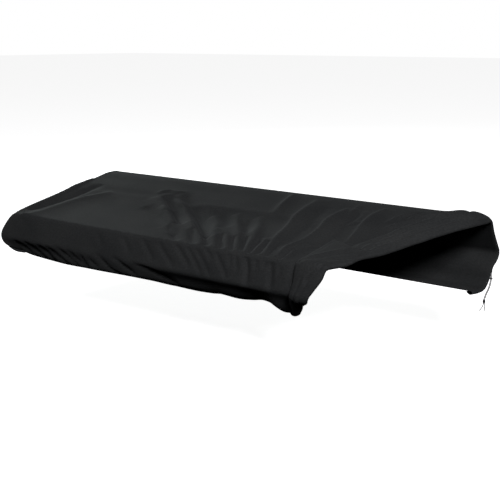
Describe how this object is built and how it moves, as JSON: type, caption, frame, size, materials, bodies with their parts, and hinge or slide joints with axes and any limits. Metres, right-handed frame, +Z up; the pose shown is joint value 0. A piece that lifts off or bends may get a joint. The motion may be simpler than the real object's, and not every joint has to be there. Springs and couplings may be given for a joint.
{
  "type": "fitted keyboard dust cover",
  "caption": "Fitted black stretch-cloth dust cover for a long wedge-shaped keyboard, drawn in below its edges, with its right end turned back and a drawcord hanging behind.",
  "frame": {"origin": "the mount under the cover's top, where what fills the cover holds it up, near the middle of its length and depth", "axes": "+X along the cover towards its open right end, +Y from front to back, +Z up"},
  "size_m": [1.2396, 0.4996, 0.2542],
  "materials": {
    "stretch_cloth": "matte knitted stretch cloth with a faint sheen",
    "cord": "braided elastic cord",
    "lock": "moulded, satin"
  },
  "bodies": {
    "root": {"cover": "stretch_cloth", "drawcord_left": "cord", "drawcord_right": "cord", "cord_knot": "cord", "cord_lock": "lock", "cord_end_left": "cord", "cord_end_right": "cord"}
  },
  "joints": []
}
